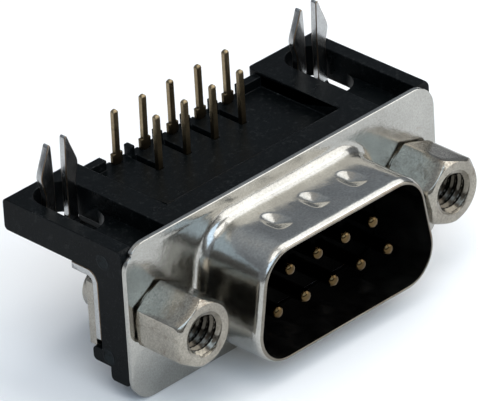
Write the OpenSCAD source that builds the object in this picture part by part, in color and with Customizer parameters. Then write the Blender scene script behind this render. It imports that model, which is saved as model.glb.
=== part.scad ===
// Right-angle nine-way connector plug for a circuit board, in millimetres.
// The origin is the centre of the flange's front face. The mating D points along -Y, the
// row of contacts runs along X, and the solder tails point up along +Z, as it lies in the hand.

/* [Front shell] */
// Height of the flange
flange_h = 12.48; // [12.2:0.02:12.9]
// Corner radius of the flange
flange_corner_r = 2; // [1:0.1:3]
// Thickness of the shell's sheet
shell_t = 0.4; // [0.3:0.02:0.5]
// Distance from the D's inner side to the middle of a screw hole
side_to_hole = 4.035; // [3.9:0.005:4.2]
// Distance from the middle of a screw hole to the flange's end
hole_to_end = 2.91; // [2.7:0.01:3.2]
// Radius of a screw hole through the flange
hole_r = 1.55; // [1.5:0.01:1.7]
// Inner width of the D at its widest
d_w = 16.92; // [16.6:0.02:17.2]
// Inner height of the D
d_h = 8.36; // [8.1:0.02:8.5]
// Inner corner radius of the D
d_r = 2.45; // [2:0.05:2.8]
// Lean of each short side of the D, in degrees
d_taper = 10; // [6:1:12]
// How far the D reaches in front of the flange
d_depth = 6.02; // [5.6:0.02:6.4]
// Radius where the D's outside runs into the flange
foot_r = 0.9; // [0.5:0.05:1]
// Dimples along each long side of the D
dimple_count = 3; // [1:1:4]
// Distance between dimples
dimple_pitch = 3.75; // [3:0.05:4]
// Distance from the flange's front face to the middle of a dimple
dimple_y = 3; // [2.7:0.05:3.3]
// Width of a dimple
dimple_w = 1.6; // [1.2:0.05:1.8]
// Length of a dimple
dimple_len = 2.6; // [2:0.05:3]
// Depth of a dimple
dimple_depth = 0.34; // [0.2:0.02:0.4]

/* [Front insulator] */
// How far the insulator's face stands in front of the flange
insulator_reach = 0.5; // [0.2:0.05:1]
// How far the insulator's base stands out all round the D
insulator_lip = 0.7; // [0.5:0.05:0.75]
// Thickness of the insulator's base behind the flange
insulator_base_t = 1.5; // [1.2:0.05:1.6]
// Clearance round the insulator
insulator_gap = 0.05; // [0.03:0.01:0.1]

/* [Contacts] */
// Contacts in the longer row
contact_count = 5; // [4:1:5]
// Distance between contacts of one row
contact_pitch = 2.77; // [2.6:0.01:2.85]
// Distance between the two rows
row_gap = 2.84; // [2.7:0.01:3]
// Radius of a mating pin
pin_r = 0.5; // [0.45:0.01:0.55]
// How far a mating pin reaches in front of the flange
pin_reach = 4.83; // [4.2:0.01:5.2]
// Length of a mating pin's rounded nose
pin_nose = 0.6; // [0.4:0.05:0.9]
// Width of a solder tail
tail_w = 0.46; // [0.4:0.01:0.6]
// Thickness of a solder tail
tail_t = 0.38; // [0.3:0.01:0.45]
// How far a solder tail stands above the board's seat
tail_reach = 3.18; // [2.8:0.02:3.6]
// Inner radius of the bend between arm and tail
tail_bend_r = 0.45; // [0.3:0.05:0.6]
// Distance from the flange's front face to the front row of tails
tail_y = 8.04; // [7.8:0.02:8.2]
// Distance between the two rows of tails
tail_row_gap = 2.84; // [2.7:0.02:2.9]
// Width of the shoulder at the foot of a rear tail
shoulder_w = 0.9; // [0.7:0.05:1.2]
// Height of that shoulder
shoulder_h = 0.8; // [0.5:0.05:1]
// Clearance between a contact and the plastic round it
contact_gap = 0.04; // [0.02:0.01:0.06]

/* [Bracket] */
// Distance from the middle of the D up to the board's seat
seat_z = 5.95; // [5.8:0.01:6.1]
// Distance from the flange's front face to the ears' rear edge
ear_y = 12.18; // [12:0.02:12.6]
// Thickness of an ear
ear_t = 2.52; // [2.3:0.02:2.7]
// Distance from the middle of a screw hole to an ear's inner edge
ear_to_hole = 3.845; // [3.6:0.005:4]
// Rounding of an ear's inner rear corner
ear_corner_r = 0.75; // [0.3:0.05:0.75]
// Thickness of the bracket's front wall
wall_t = 2.55; // [2.3:0.02:2.8]
// Radius in the corner between front wall and ear
ear_fillet_r = 1; // [0.7:0.05:1.1]
// Thickness of the skirt below the front wall
skirt_t = 1.8; // [1.4:0.05:2]
// Distance from the middle of the D down to the skirt's edge
skirt_z = 4.94; // [4.8:0.02:5.2]
// Distance from the middle of the D down to the top of a foot
foot_z = 2.78; // [2.7:0.02:2.9]
// Height of a foot
foot_h = 1.12; // [0.8:0.02:1.4]
// How far a foot reaches behind the front wall
foot_reach = 0.95; // [0.8:0.05:1.4]
// Rounding of the bracket's outer edges
edge_r = 0.35; // [0.2:0.05:0.4]
// Distance from the middle of the D up to the recessed deck
deck_z = 4.85; // [4.7:0.02:5]
// Gap between the block that holds the contacts and a strap
block_gap = 0.495; // [0.4:0.005:0.6]
// Distance from the middle of the D down to the block's underside
block_z = 2.35; // [2.2:0.02:2.5]
// Distance from the flange's front face to the block's rear
block_y = 11.4; // [11.3:0.02:11.7]
// Height of the rear comb above the deck
comb_h = 0.78; // [0.4:0.02:0.9]
// Thickness of the rear comb
comb_t = 0.75; // [0.6:0.01:0.75]
// Width of one tooth of the comb
tooth_w = 0.4; // [0.3:0.02:0.6]
// Width of the channel in an ear
channel_w = 3.54; // [3.48:0.02:3.6]
// Distance from the board's seat down to the channel's floor
channel_depth = 1.4; // [1:0.05:1.6]
// Distance from the flange's front face to the middle of the channel's round end
channel_y = 9.5; // [9.45:0.02:9.6]
// Length between the round ends of the hole through an ear
ear_hole_len = 1.9; // [1.5:0.05:2.2]

/* [Boardlock straps] */
// Thickness of a strap's sheet
strap_t = 0.55; // [0.45:0.01:0.6]
// Width of a strap's plate
strap_w = 5.8; // [5.4:0.02:5.8]
// Distance from the front wall's rear to where the plate narrows
strap_wide_len = 2.3; // [1.8:0.05:2.8]
// Width of a strap's tongue and of the fork's body
tongue_w = 2.96; // [2.7:0.02:3.1]
// How far a fork stands above the board's seat
fork_reach = 4.4; // [4:0.02:4.6]
// Distance from the flange's front face to the fork's rear
fork_y = 9.75; // [9.7:0.02:9.8]
// Width of the slot between the prongs
fork_slot_w = 1.04; // [0.9:0.02:1.2]
// Clearance between the barbs and the channel's sides
barb_gap = 0.03; // [0.02:0.01:0.1]
// Distance from the board's seat up to the barbs
barb_z = 1.8; // [1.6:0.02:2.2]
// Clearance between strap and plastic
strap_gap = 0.03; // [0.02:0.01:0.06]

/* [Nuts] */
// Thickness of a nut's plate
nut_plate_t = 0.5; // [0.4:0.01:0.6]
// Width of a nut's plate
nut_plate_w = 5.6; // [5:0.05:5.8]
// Height of a nut's plate
nut_plate_h = 4.2; // [4:0.05:4.4]
// Radius of a nut's barrel
nut_barrel_r = 1.95; // [1.8:0.02:2.1]
// Length of a nut's barrel
nut_barrel_len = 1.8; // [1.2:0.05:2.2]
// Clearance round the screwlock's stud in the nut
thread_gap = 0.05; // [0.03:0.01:0.08]

/* [Screwlocks] */
// Width of the hexagon across its flats
hex_af = 4.75; // [4.6:0.01:4.8]
// How far the hexagon stands in front of the flange
hex_len = 4.51; // [4.2:0.01:5]
// Radius of the flat ring at the hexagon's front
hex_face_r = 2.32; // [2.2:0.01:2.36]
// Depth of the chamfer on the hexagon's corners
hex_chamfer = 0.35; // [0.2:0.01:0.5]
// Height of the round collar at the hexagon's foot
collar_h = 0.3; // [0.15:0.01:0.5]
// Turn of the right hexagon against the left one, in degrees
hex_turn = 12; // [0:1:30]
// Radius of the threaded hole inside its turns
thread_r = 1.15; // [1.08:0.01:1.19]
// Depth of the threaded hole
thread_depth = 4.1; // [3.4:0.01:4.15]
// Radius of the countersink at the hole's mouth
sink_r = 1.68; // [1.6:0.01:1.75]
// Radius of the stud behind the hexagon
stud_r = 1.38; // [1.32:0.01:1.42]
// Length of the stud
stud_len = 5.5; // [5:0.05:6]

/* [Hidden] */
$fn = 48;
// Overlap that keeps a cut clear of the face it starts from
eps = 0.2;
// Half-length of a cutting shape that passes right through
far = 40;

// The D's corner centres, anticlockwise from the lower left, seen from the front
d_centre_z = d_h / 2 - d_r;
d_low_x = d_w / 2 - d_r;
d_high_x = d_low_x - 2 * d_centre_z * tan(d_taper);
D_CENTRES = [
    [-d_low_x, -d_centre_z],
    [d_low_x, -d_centre_z],
    [d_high_x, d_centre_z],
    [-d_high_x, d_centre_z],
];
// Direction in which each corner's arc starts, and how far it turns
D_STARTS = [180 - d_taper, 270, d_taper, 90];
D_TURNS = [90 + d_taper, 90 + d_taper, 90 - d_taper, 90 - d_taper];

// The swept foot of the D runs this far into the flat flange
flange_lap = 0.3;
foot_edge = d_r + shell_t + foot_r;
// Steps along the bends of the rim and the foot, and round a corner of the D
rim_steps = 4;
foot_steps = 5;
corner_steps = 12;

// Radius of the stamp that makes a dimple, and how far its axis lies from the D's middle
dimple_r = (pow(dimple_w / 2, 2) + pow(dimple_depth, 2)) / (2 * dimple_depth);
dimple_axis = d_h / 2 + shell_t + dimple_r - dimple_depth;

// Where the pieces stand one behind the other
flange_back = shell_t;
wall_back = flange_back + wall_t;
base_back = flange_back + insulator_base_t;
strap_back = wall_back + strap_t;
nut_back = strap_back + nut_plate_t;

// Screw holes, flange ends and ears, each placed from the D outwards
hole_x = d_w / 2 + side_to_hole;
end_x = hole_x + hole_to_end;
ear_inner_x = hole_x - ear_to_hole;
ear_under_z = seat_z - ear_t;
channel_z = seat_z - channel_depth;
channel_r = channel_w / 2;
barb_half = channel_r - barb_gap;
block_half_w = hole_x - strap_w / 2 - block_gap;

// Contacts: the longer row is the lower one and has the rear tails
row_z = row_gap / 2;
short_count = contact_count - 1;
pin_back = base_back - insulator_gap;
// The flat arm starts this far inside the turned pin
arm_lap = 0.95;
arm_front = pin_back - arm_lap;
tail_tip_z = seat_z + tail_reach;
comb_front = block_y - comb_t;
// The block runs this far into the front wall, and the comb this far into the block
block_lap = 1;

// Straps
tongue_top = ear_under_z - strap_gap;
tongue_under = tongue_top - strap_t;
strap_bend_r = ear_fillet_r - strap_t;
fork_bend_r = 0.25;
fork_top = seat_z + fork_reach;
// The slot between the prongs starts this far above the ear's underside
fork_slot_up = 1;
fork_slot_floor = ear_under_z + fork_slot_up;
// A prong's tip narrows by steps of this size
prong_step = 0.26;
// The barb's upper slope drops by this much while it widens by the next
barb_slope_h = 0.5;
barb_slope_w = 0.1;
// The waist below the barb is cut in by this much, this far down
waist_in = 0.06;
waist_drop = 0.9;
strap_foot_gap = 0.05;

// Nuts and screwlocks
nut_corner_r = 0.6;
hex_r = hex_af / 2 / cos(30);
// The collar stands in from the hexagon's flats by this much
collar_in = 0.12;
collar_r = hex_af / 2 - collar_in;
// The hexagon's rear corners slope out from the collar over this width and height
rear_slope_w = 0.1;
rear_slope_h = 0.2;
sink_h = sink_r - thread_r;
// The drill's point at the bottom of the threaded hole
drill_point = 0.33;
// Chamfer at the stud's end
stud_chamfer = 0.35;

// A slab between two distances behind the flange's front face; its outline is seen from the front
module slab_y(from_y, to_y) {
    translate([0, to_y, 0])
        rotate([90, 0, 0])
            linear_extrude(to_y - from_y)
                children();
}

// A bar between two places along X; its outline is seen from the right end, as [y, z]
module bar_x(from_x, to_x) {
    translate([from_x, 0, 0])
        rotate([90, 0, 90])
            linear_extrude(to_x - from_x)
                children();
}

// A rectangle given by two opposite corners
module box_2d(low, high) {
    translate(low)
        square([high[0] - low[0], high[1] - low[1]]);
}

// A quarter of a ring about the origin, in the quadrant that the signs name
module quarter_ring(inner, outer, sign_x, sign_y) {
    intersection() {
        difference() {
            circle(outer);
            if (inner > 0)
                circle(inner);
        }
        scale([sign_x, sign_y])
            square(outer + 1);
    }
}

// The D's outline, grown outwards all round
module d_outline(grow) {
    hull()
        for (c = D_CENTRES)
            translate(c)
                circle(d_r + grow);
}

// Points along an arc, both ends included
function arc(centre, r, from, to, steps) = [
    for (i = [0:steps])
        let (a = from + (to - from) * i / steps)
            centre + r * [cos(a), sin(a)]
];

// The drawn sheet in section: rounded rim, straight wall, bent foot, start of the flange.
// X runs outwards from the D's corner centres and Y forwards.
SHEET_SECTION = concat(
    arc([d_r, d_depth - shell_t], shell_t, 90, 0, rim_steps),
    arc([foot_edge, foot_r], foot_r, 180, 270, foot_steps),
    [[foot_edge + flange_lap, 0], [foot_edge + flange_lap, -shell_t]],
    arc([foot_edge, foot_r], foot_r + shell_t, 270, 180, foot_steps)
);

// Where that section stands round the D: a corner centre and the direction outwards from it
STATIONS = [
    for (i = [0:3])
        for (k = [0:corner_steps])
            [D_CENTRES[i], D_STARTS[i] + D_TURNS[i] * k / corner_steps]
];

// The drawn D, one sheet swept round all the stations; it lies flat here, with forwards up
module drawn_d() {
    ring = len(SHEET_SECTION);
    around = len(STATIONS);
    polyhedron(
        points = [
            for (s = STATIONS)
                for (p = SHEET_SECTION)
                    [s[0][0] + p[0] * cos(s[1]), s[0][1] + p[0] * sin(s[1]), p[1]]
        ],
        faces = [
            for (j = [0:around - 1])
                for (k = [0:ring - 1])
                    let (next_j = (j + 1) % around, next_k = (k + 1) % ring)
                        [j * ring + k, next_j * ring + k, next_j * ring + next_k, j * ring + next_k]
        ]
    );
}

// A rod with round ends, standing along Z about the origin
module capsule(r, straight) {
    rotate_extrude()
        intersection() {
            box_2d([0, -far], [far, far]);
            union() {
                translate([0, straight / 2])
                    circle(r);
                translate([0, -straight / 2])
                    circle(r);
                box_2d([-r, -straight / 2], [r, straight / 2]);
            }
        }
}

// Places a child at every dimple of both long sides of the lying D
module at_dimples() {
    for (side = [1, -1])
        for (i = [0:dimple_count - 1])
            translate([(i - (dimple_count - 1) / 2) * dimple_pitch, side * dimple_axis, dimple_y])
                children();
}

module front_shell() {
    color("silver") {
        slab_y(0, shell_t)
            difference() {
                offset(flange_corner_r)
                    square(2 * [end_x - flange_corner_r, flange_h / 2 - flange_corner_r], center = true);
                d_outline(shell_t + foot_r + flange_lap / 2);
                for (side = [-1, 1])
                    translate([side * hole_x, 0])
                        circle(hole_r);
            }
        rotate([90, 0, 0])
            difference() {
                union() {
                    drawn_d();
                    intersection() {
                        at_dimples()
                            capsule(dimple_r + shell_t, dimple_len - dimple_w);
                        translate([-far, -d_h / 2 - shell_t / 2, 0])
                            cube([2 * far, d_h + shell_t, d_depth]);
                    }
                }
                at_dimples()
                    capsule(dimple_r, dimple_len - dimple_w);
            }
    }
}

// Where each contact stands: the lower row first, then the upper one
function is_lower(i) = i <= contact_count;
function contact_x(i) = is_lower(i)
    ? (i - 1 - (contact_count - 1) / 2) * contact_pitch
    : (i - contact_count - 1 - (short_count - 1) / 2) * contact_pitch;
function contact_z(i) = is_lower(i) ? -row_z : row_z;
function contact_tail_y(i) = is_lower(i) ? tail_y + tail_row_gap : tail_y;

module front_insulator() {
    color("#18191b")
        difference() {
            union() {
                slab_y(-insulator_reach, flange_back + eps)
                    d_outline(-insulator_gap);
                slab_y(flange_back, base_back)
                    d_outline(insulator_lip);
            }
            for (i = [1:contact_count + short_count])
                translate([contact_x(i), base_back + eps, contact_z(i)])
                    rotate([90, 0, 0])
                        cylinder(r = pin_r + contact_gap, h = far);
        }
}

// The bent strip of a contact seen from its side, as [y, z], grown all round by a gap
module arm_and_tail(z, y, tip_z, gap) {
    half = tail_t / 2 + gap;
    bend = tail_bend_r - gap;
    centre = [y - half - bend, z + half + bend];
    box_2d([arm_front, z - half], [centre[0], z + half]);
    translate(centre)
        quarter_ring(bend, bend + 2 * half, 1, -1);
    box_2d([y - half, centre[1]], [y + half, tip_z]);
}

// The solder tail seen from the front, with its rounded tip
module tail_front() {
    box_2d([-tail_w / 2, deck_z], [tail_w / 2, tail_tip_z - tail_w / 2]);
    translate([0, tail_tip_z - tail_w / 2])
        circle(tail_w / 2);
}

// The wider stretch that seats a rear tail on the deck
module shoulder_front() {
    slope = (shoulder_w - tail_w) / 2;
    low = deck_z + contact_gap;
    polygon([
        [-shoulder_w / 2, low],
        [shoulder_w / 2, low],
        [shoulder_w / 2, low + shoulder_h - slope],
        [tail_w / 2, low + shoulder_h],
        [-tail_w / 2, low + shoulder_h],
        [-shoulder_w / 2, low + shoulder_h - slope],
    ]);
}

// The turned pin, standing along Z with its nose up
module pin(length) {
    rotate_extrude()
        polygon(concat(
            [[0, 0], [pin_r, 0]],
            [for (a = [0:15:90]) [pin_r * cos(a), length - pin_nose * (1 - sin(a))]]
        ));
}

module contact(i) {
    x = contact_x(i);
    z = contact_z(i);
    y = contact_tail_y(i);
    color("#a5854c")
        translate([x, 0, 0]) {
            translate([0, pin_back, z])
                rotate([90, 0, 0])
                    pin(pin_back + pin_reach);
            bar_x(-tail_w / 2, tail_w / 2)
                arm_and_tail(z, y, deck_z + eps, 0);
            slab_y(y - tail_t / 2, y + tail_t / 2) {
                tail_front();
                if (is_lower(i))
                    shoulder_front();
            }
        }
}

// One end of the bracket seen from the side: ear, front wall, foot and skirt
module end_profile() {
    offset(edge_r)
        offset(-edge_r) {
            box_2d([flange_back, ear_under_z], [ear_y, seat_z]);
            box_2d([flange_back, -foot_z - foot_h], [wall_back, seat_z]);
            box_2d([flange_back, -foot_z - foot_h], [wall_back + foot_reach, -foot_z]);
            box_2d([flange_back, -skirt_z], [flange_back + skirt_t, seat_z]);
        }
    translate([wall_back, ear_under_z - ear_fillet_r])
        difference() {
            translate([-eps, 0])
                square([ear_fillet_r + eps, ear_fillet_r + eps]);
            translate([ear_fillet_r, 0])
                circle(ear_fillet_r);
        }
}

// Everything between the two ends: front wall, skirt, deck block and comb
module middle() {
    bar_x(-ear_inner_x - eps, ear_inner_x + eps)
        offset(edge_r)
            offset(-edge_r) {
                box_2d([flange_back, -foot_z], [wall_back, seat_z]);
                box_2d([flange_back, -skirt_z], [flange_back + skirt_t, seat_z]);
            }
    bar_x(-block_half_w, block_half_w)
        offset(edge_r)
            offset(-edge_r)
                box_2d([wall_back - block_lap, -block_z], [block_y, deck_z]);
    bar_x(-ear_inner_x - eps, ear_inner_x + eps)
        box_2d([comb_front, deck_z - block_lap], [block_y, deck_z + comb_h]);
}

// The inner rear corner of an ear, rounded as seen from above
module ear_corner_cut() {
    translate([ear_inner_x, ear_y - ear_corner_r, 0])
        linear_extrude(far)
            difference() {
                translate([-eps, 0])
                    square([ear_corner_r + eps, ear_corner_r + eps]);
                translate([ear_corner_r, 0])
                    circle(ear_corner_r);
            }
}

// The channel that opens an ear to the board side, and the hole through its floor
module ear_channel() {
    translate([hole_x, 0, channel_z])
        linear_extrude(far) {
            box_2d([-channel_r, -eps], [channel_r, channel_y]);
            translate([0, channel_y])
                circle(channel_r);
        }
    translate([hole_x, 0, 0])
        linear_extrude(far) {
            box_2d([-channel_r, channel_y - ear_hole_len], [channel_r, channel_y]);
            translate([0, channel_y])
                circle(channel_r);
            translate([0, channel_y - ear_hole_len])
                circle(channel_r);
        }
}

// The way through the plastic for one contact; rear ones lie in grooves open to the rear
module contact_way(i) {
    x = contact_x(i);
    z = contact_z(i);
    y = contact_tail_y(i);
    half_t = tail_t / 2 + contact_gap;
    half_w = tail_w / 2 + contact_gap;
    bar_x(x - half_w, x + half_w) {
        arm_and_tail(z, y, far, contact_gap);
        if (is_lower(i))
            box_2d([y - half_t, z - half_t], [block_y + eps, far]);
        else
            box_2d([y - half_t, z - half_t], [comb_front, far]);
    }
}

module bracket() {
    color("#1d1f21")
        difference() {
            union() {
                middle();
                for (side = [0, 1])
                    mirror([side, 0, 0])
                        bar_x(ear_inner_x, end_x)
                            end_profile();
            }
            slab_y(flange_back - eps, base_back + insulator_gap)
                hull() {
                    d_outline(insulator_lip + insulator_gap);
                    translate([0, -d_h / 2])
                        d_outline(insulator_lip + insulator_gap);
                }
            for (i = [1:contact_count])
                translate([contact_x(i) - contact_pitch / 2 + tooth_w / 2, comb_front - eps, deck_z])
                    cube([contact_pitch - tooth_w, far, far]);
            for (side = [0, 1])
                mirror([side, 0, 0]) {
                    translate([hole_x, flange_back - eps, 0])
                        rotate([-90, 0, 0])
                            cylinder(r = hole_r + strap_gap, h = wall_t + 2 * eps);
                    ear_channel();
                    ear_corner_cut();
                }
            for (i = [1:contact_count + short_count])
                contact_way(i);
        }
}

// A strap seen from its side: plate behind the wall, bend, and tongue under the ear
module strap_profile(to_y) {
    bend = [wall_back + ear_fillet_r, tongue_top - ear_fillet_r];
    box_2d([wall_back, -foot_z + strap_foot_gap], [strap_back, bend[1]]);
    translate(bend)
        quarter_ring(strap_bend_r, ear_fillet_r, -1, 1);
    box_2d([bend[0], tongue_under], [to_y, tongue_top]);
}

// One prong of the fork seen from the front, right of the middle
module prong() {
    polygon([
        [fork_slot_w / 2, fork_slot_floor],
        [fork_slot_w / 2, fork_top - prong_step],
        [fork_slot_w / 2 + prong_step, fork_top],
        [fork_slot_w / 2 + 2 * prong_step, fork_top],
        [fork_slot_w / 2 + 3 * prong_step, fork_top - prong_step],
        [barb_half - barb_slope_w, seat_z + barb_z + barb_slope_h],
        [barb_half, seat_z + barb_z],
        [tongue_w / 2 - waist_in, seat_z + barb_z - waist_drop],
        [tongue_w / 2, seat_z],
        [tongue_w / 2, fork_slot_floor],
    ]);
}

module strap() {
    color("#b9b8b2") {
        difference() {
            bar_x(-strap_w / 2, strap_w / 2)
                strap_profile(wall_back + strap_wide_len);
            translate([0, wall_back - eps, 0])
                rotate([-90, 0, 0])
                    cylinder(r = hole_r + strap_gap, h = strap_t + 2 * eps);
        }
        bar_x(-tongue_w / 2, tongue_w / 2) {
            box_2d([wall_back + strap_wide_len - eps, tongue_under],
                   [fork_y - strap_t - fork_bend_r, tongue_top]);
            translate([fork_y - strap_t - fork_bend_r, tongue_top + fork_bend_r])
                quarter_ring(fork_bend_r, fork_bend_r + strap_t, 1, -1);
        }
        slab_y(fork_y - strap_t, fork_y) {
            difference() {
                box_2d([-tongue_w / 2, tongue_top + fork_bend_r], [tongue_w / 2, fork_slot_floor]);
                translate([0, fork_slot_floor])
                    circle(fork_slot_w / 2);
            }
            for (side = [0, 1])
                mirror([side, 0])
                    prong();
        }
    }
}

// The nut: a plate against the strap and a threaded barrel behind it
module nut() {
    color("#8f8d86")
        difference() {
            union() {
                slab_y(strap_back, nut_back)
                    offset(nut_corner_r)
                        square(
                            [nut_plate_w - 2 * nut_corner_r, nut_plate_h - 2 * nut_corner_r],
                            center = true
                        );
                translate([0, strap_back, 0])
                    rotate([-90, 0, 0])
                        cylinder(r = nut_barrel_r, h = nut_plate_t + nut_barrel_len);
            }
            translate([0, strap_back - eps, 0])
                rotate([-90, 0, 0])
                    cylinder(r = stud_r + thread_gap, h = far);
        }
}

// A screwlock standing along Z, with its stud below the flange's face
module screwlock_upright() {
    // Where the chamfer's cone passes the circle that bounds the cutting shape
    bound_r = hex_r + eps;
    bound_z = hex_len - hex_chamfer * (bound_r - hex_face_r) / (hex_r - hex_face_r);
    difference() {
        union() {
            intersection() {
                cylinder(r = hex_r, h = hex_len, $fn = 6);
                rotate_extrude()
                    polygon([
                        [0, collar_h],
                        [collar_r + rear_slope_w, collar_h],
                        [bound_r, collar_h + rear_slope_h],
                        [bound_r, bound_z],
                        [hex_face_r, hex_len],
                        [0, hex_len],
                    ]);
            }
            cylinder(r = collar_r, h = collar_h + eps);
            rotate_extrude()
                polygon([
                    [0, -stud_len],
                    [stud_r - stud_chamfer, -stud_len],
                    [stud_r, stud_chamfer - stud_len],
                    [stud_r, eps],
                    [0, eps],
                ]);
        }
        rotate_extrude()
            polygon([
                [0, hex_len - thread_depth - drill_point],
                [thread_r, hex_len - thread_depth],
                [thread_r, hex_len - sink_h],
                [sink_r, hex_len],
                [sink_r, hex_len + eps],
                [0, hex_len + eps],
            ]);
    }
}

module screwlock(turn) {
    color("#c9c7bf")
        rotate([90, 0, 0])
            rotate([0, 0, 30 + turn])
                screwlock_upright();
}

front_shell();
front_insulator();
bracket();
for (i = [1:contact_count + short_count])
    contact(i);
translate([-hole_x, 0, 0]) strap();  // strap_left
translate([hole_x, 0, 0]) strap();  // strap_right
translate([-hole_x, 0, 0]) nut();  // nut_left
translate([hole_x, 0, 0]) nut();  // nut_right
translate([-hole_x, 0, 0]) screwlock(0);  // screwlock_left
translate([hole_x, 0, 0]) screwlock(hex_turn);  // screwlock_right
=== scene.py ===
"""Looks of the right-angle nine-way connector plug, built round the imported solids."""
import math

import bmesh
import bpy
from mathutils import Matrix, Vector
from mathutils.geometry import tessellate_polygon


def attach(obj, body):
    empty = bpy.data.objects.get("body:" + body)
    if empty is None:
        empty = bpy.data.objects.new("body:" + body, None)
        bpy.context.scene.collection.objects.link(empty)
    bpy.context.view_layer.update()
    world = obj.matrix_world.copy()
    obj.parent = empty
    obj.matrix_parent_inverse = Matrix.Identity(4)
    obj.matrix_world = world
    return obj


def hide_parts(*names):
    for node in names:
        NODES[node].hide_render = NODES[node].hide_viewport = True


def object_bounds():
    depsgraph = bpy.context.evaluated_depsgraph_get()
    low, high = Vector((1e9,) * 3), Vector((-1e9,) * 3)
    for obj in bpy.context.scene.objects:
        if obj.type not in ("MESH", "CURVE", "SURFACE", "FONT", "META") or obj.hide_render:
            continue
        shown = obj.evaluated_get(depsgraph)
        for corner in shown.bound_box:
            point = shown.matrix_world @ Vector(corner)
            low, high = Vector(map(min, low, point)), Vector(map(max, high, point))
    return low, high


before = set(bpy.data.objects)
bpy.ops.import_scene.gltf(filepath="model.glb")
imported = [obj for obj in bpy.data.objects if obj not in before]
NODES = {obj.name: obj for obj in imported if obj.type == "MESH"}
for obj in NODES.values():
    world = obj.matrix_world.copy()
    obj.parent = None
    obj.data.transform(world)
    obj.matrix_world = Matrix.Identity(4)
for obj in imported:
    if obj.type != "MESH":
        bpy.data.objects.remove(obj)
cad_lo, cad_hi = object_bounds()
MM = 0.001

# Sizes are in millimetres and the same as in the part's source, except those under a line
# that says closer to the photo. These differ from the source or are only here.

# Shell: flange, screw holes, D, foot and dimples
FLANGE_W, FLANGE_H, FLANGE_R = 30.81, 12.48, 2.0
SHELL_T = 0.4
HOLE_X, HOLE_R = 24.99 / 2, 1.55
D_W, D_H, D_R, D_DEPTH = 16.92, 8.36, 2.45, 6.02
D_TAPER = 10.0
FOOT_R = 0.9
DIMPLE_PITCH, DIMPLE_Y = 3.75, 3.0
DIMPLE_W, DIMPLE_LEN, DIMPLE_DEPTH = 1.6, 2.6, 0.34
# Closer to the photo: rounding of the D's rim, shape of the dimples, dent at the flange's
# corner
RIM_IN, RIM_WIDE, RIM_LONG = 0.03, 0.36, 0.66
DIMPLE_WIDER, DIMPLE_DEEPER, DIMPLE_SOFT = 0.05, 1.12, 0.20
DIMPLE_HIPPED, DIMPLE_ROUND = 3.6, 2.0
NICK, NICK_R, NICK_SHARE = (-14.95, 5.50), 0.30, 0.011

# Contacts
PITCH, ROW_GAP = 2.77, 2.84
PIN_R, PIN_REACH, PIN_BACK = 0.5, 4.83, 1.85
ARM_FRONT = 0.9
TAIL_W, TAIL_T, TAIL_BEND_R = 0.46, 0.38, 0.45
TAIL_Y, TAIL_ROW_GAP, TAIL_REACH = 8.04, 2.84, 3.18
SHOULDER_W, SHOULDER_H, CONTACT_GAP = 0.9, 0.8, 0.04
# Closer to the photo: length of the pin's nose and power of its dome, slope of the shoulders
PIN_NOSE, PIN_BLUNT, SHOULDER_SLOPE = 0.5, 0.58, 0.03

# Screwlocks
HEX_AF, HEX_LEN, HEX_FACE_R, HEX_CHAMFER, HEX_TURN = 4.75, 4.51, 2.32, 0.35, 12.0
COLLAR_R = HEX_AF / 2 - 0.12
STUD_R, STUD_LEN, THREAD_DEPTH, DRILL_POINT = 1.38, 5.5, 4.1, 0.33
# Closer to the photo: gap under the hexagon, slope behind it, thread's root and countersink
COLLAR_H, REAR_SLOPE_H, THREAD_R, SINK_R = 0.17, 0.14, 1.66, 1.84
# The thread of the kind of product, which the source leaves plain
THREAD_PITCH, THREAD_H = 0.635, 0.28

# Bracket
WALL_BACK, END_X = 2.95, 15.405
EAR_UNDER_Z, EAR_FILLET_R = 3.43, 1.0
SEAT_Z, DECK_Z, CHANNEL_Z = 5.95, 4.85, 4.55

# Straps
STRAP_T, STRAP_W, STRAP_GAP = 0.55, 5.8, 0.03
TONGUE_W = 2.96
FORK_Y, FORK_REACH, FORK_BEND_R = 9.75, 4.4, 0.25
FORK_SLOT_W, FORK_SLOT_UP = 1.04, 1.0
BARB_HALF, WAIST_IN = 1.74, 0.06
# Closer to the photo: lower end of the plate, wide part of the tongue, and the slot, which
# is wider on each side and lower; the rest of the fork is in prong_side
STRAP_LOW_Z, STRAP_WIDE_LEN = -2.05, 2.58
SLOT_WIDER, SLOT_LOWER, SLOT_FLOOR_DROP, SLOT_CORNER = 0.06, 0.35, 0.3, 0.25

# Nuts
NUT_BORE = 1.43
# Closer to the photo: plate between two heights, its corners, barrel and the barrel's end
NUT_T, NUT_LOW, NUT_HIGH, NUT_CORNER = 0.66, -2.74, 2.45, 0.16
NUT_R, NUT_END = 1.66, 6.02

# Camera fitted to the photo: angles in degrees, lengths in millimetres, pixels per millimetre
CAMERA_AZ, CAMERA_EL, CAMERA_ROLL = -43.466, 30.465, -3.479
CAMERA_RIGHT, CAMERA_UP, CAMERA_FAR = -3.28237, 2.85951, 485.2346
CAMERA_SCALE, PHOTO_W, SENSOR_W = 14.23856, 478, 36


# Node helpers

def material(name):
    mat = bpy.data.materials.new(name)
    mat.use_nodes = True
    tree = mat.node_tree
    return mat, tree, tree.nodes["Principled BSDF"]


def node(tree, kind, **values):
    """A new node; each value goes to the input of that name, or else to the setting."""
    made = tree.nodes.new(kind)
    for key, value in values.items():
        if key in made.inputs.keys():
            made.inputs[key].default_value = value
        else:
            setattr(made, key, value)
    return made


def link(tree, a, b):
    tree.links.new(a, b)


def coords(tree, scale=(1, 1, 1), turn=(0, 0, 0)):
    """Object coordinates in metres, stretched: noise scales are then per metre."""
    place = node(tree, "ShaderNodeTexCoord")
    mapping = node(tree, "ShaderNodeMapping", Scale=scale, Rotation=turn)
    link(tree, place.outputs["Object"], mapping.inputs["Vector"])
    return mapping.outputs["Vector"]


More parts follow.
